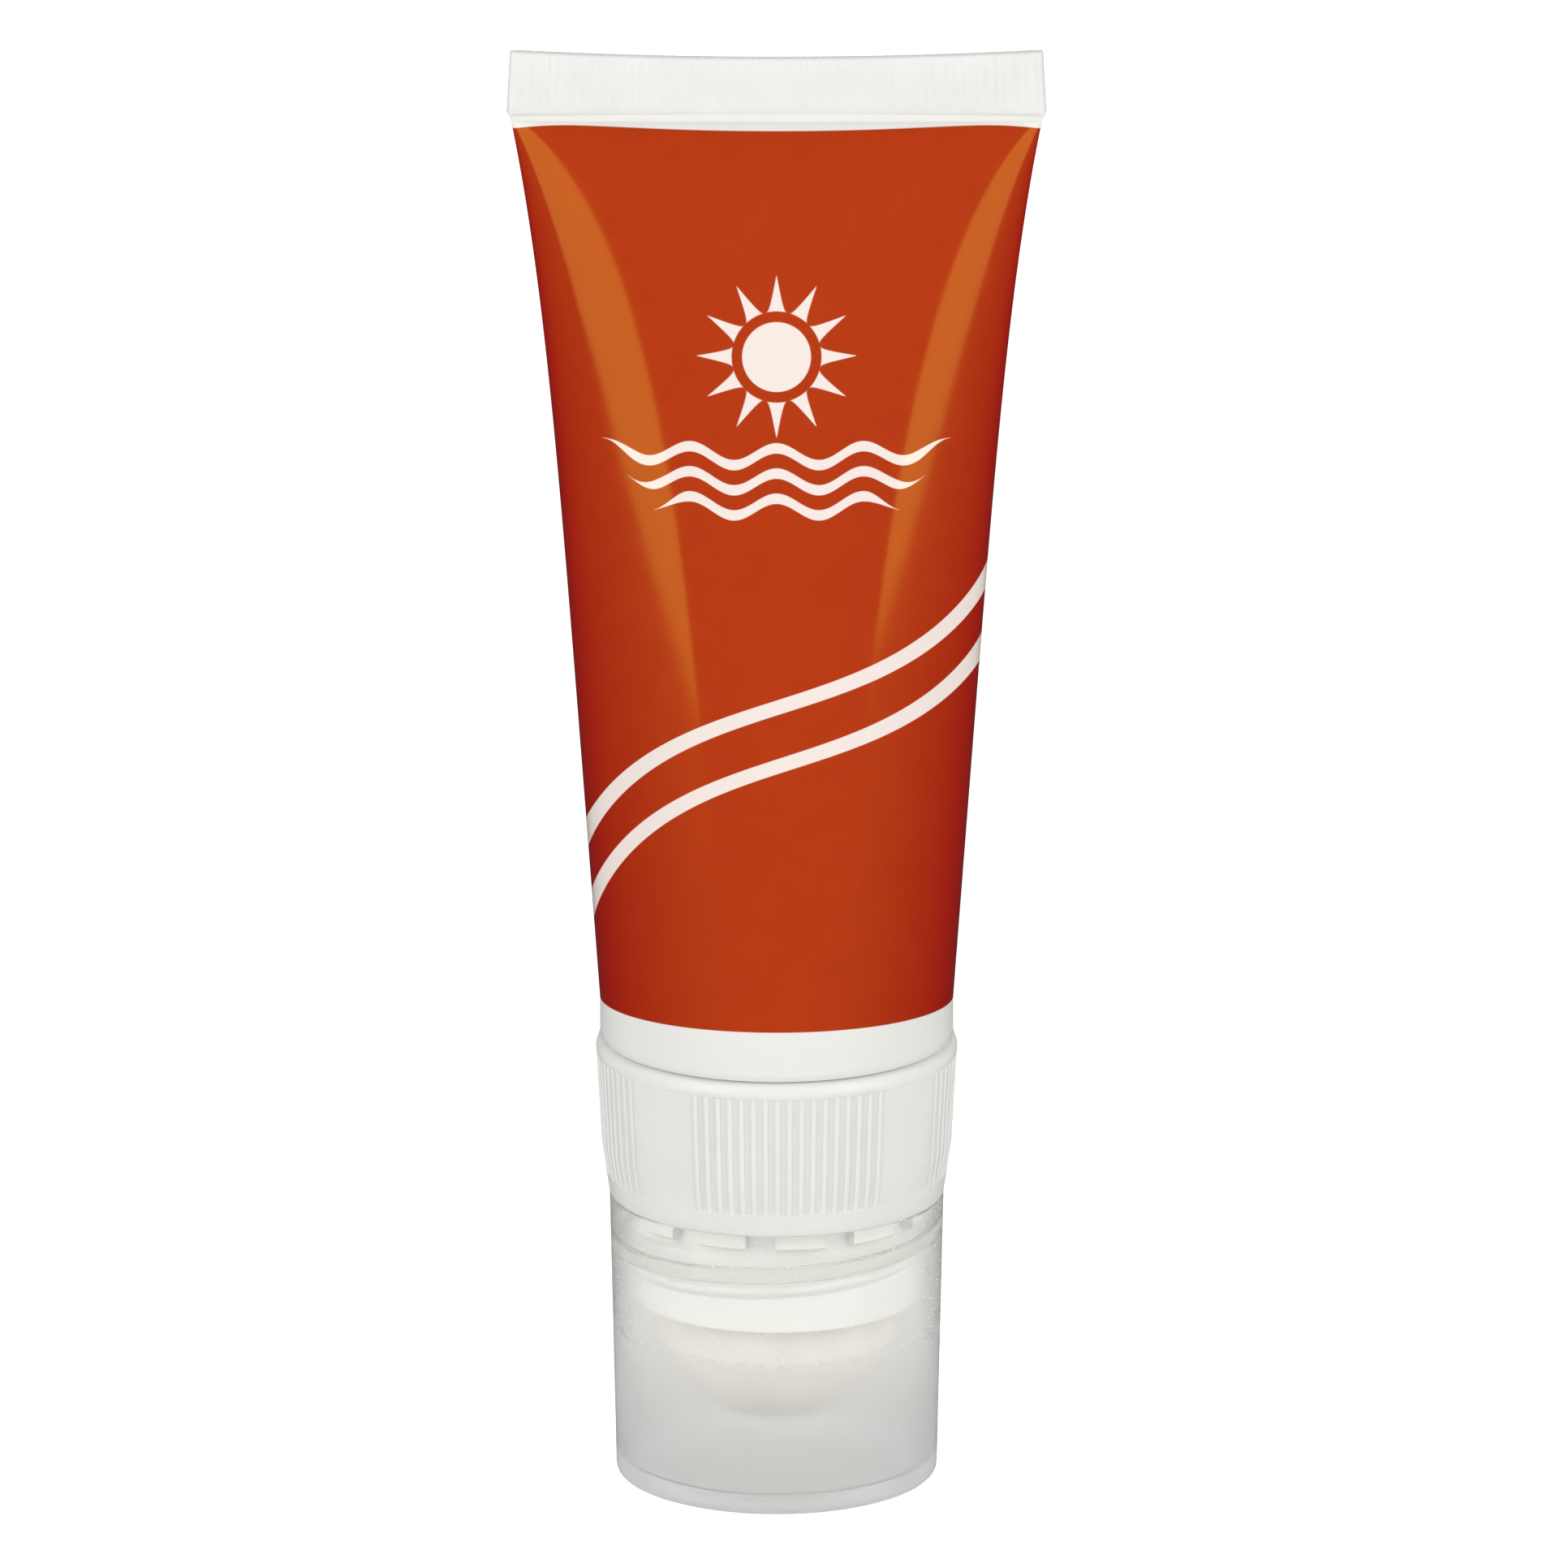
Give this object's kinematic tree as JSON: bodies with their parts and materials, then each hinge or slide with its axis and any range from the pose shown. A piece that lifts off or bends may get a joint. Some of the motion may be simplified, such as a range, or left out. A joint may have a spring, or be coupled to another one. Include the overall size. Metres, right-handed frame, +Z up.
{
  "type": "sunscreen tube with lip balm closure",
  "caption": "Squeeze tube of sun cream sealed flat at the top, standing on a ribbed screw closure that holds a twist-up lip balm stick under a frosted cap.",
  "frame": {"origin": "centre of the cap's base, which is what the object stands on", "axes": "+Z up along the tube towards its flat seal, +X to the right along the seal, the printed front faces -Y"},
  "size_m": [0.0376, 0.0256, 0.1038],
  "materials": {
    "printed_sleeve": "glossy orange-red print with off-white stripes on a white plastic sleeve",
    "white_shoulder": "natural moulded white",
    "cream": "smooth pale cream",
    "foam_disc": "soft closed-cell foam",
    "white_closure": "satin moulded white",
    "white_mechanism": "plain moulded white",
    "white_barrel": "satin moulded white",
    "balm_wax": "warm beige wax with a soft sheen",
    "frosted_cap": "frosted translucent plastic"
  },
  "bodies": {
    "tube": {"tube_sleeve": "printed_sleeve", "tube_shoulder": "white_shoulder", "sun_cream": "cream"},
    "seal": {"sealing_disc": "foam_disc"},
    "closure": {"ribbed_closure": "white_closure", "balm_spindle": "white_mechanism"},
    "barrel": {"balm_barrel": "white_barrel"},
    "stick": {"balm_carrier": "white_mechanism", "lip_balm": "balm_wax"},
    "cap": {"frosted_cap": "frosted_cap"}
  },
  "joints": [
    {"name": "closure_lift", "type": "slide", "parent": "tube", "child": "seal", "axis": [0, 0, -1], "range_m": [0, 0.01]},
    {"name": "closure_turn", "type": "hinge", "parent": "seal", "child": "closure", "pos_m": [0, 0, 0.0248], "axis": [0, 0, -1], "range_deg": [0, 1440]},
    {"name": "barrel_turn", "type": "hinge", "parent": "closure", "child": "barrel", "pos_m": [0, 0, 0.0182], "axis": [0, 0, -1], "range_deg": [-270, 180]},
    {"name": "balm_lift", "type": "slide", "parent": "barrel", "child": "stick", "axis": [0, 0, -1], "range_m": [-0.003, 0.002]},
    {"name": "overcap_lift", "type": "slide", "parent": "barrel", "child": "cap", "axis": [0, 0, -1], "range_m": [0, 0.022]}
  ],
  "couplings": [
    {"joint": "closure_turn", "follows": "closure_lift", "rad_per_m": 2513.3},
    {"joint": "barrel_turn", "follows": "balm_lift", "rad_per_m": 1570.8}
  ]
}
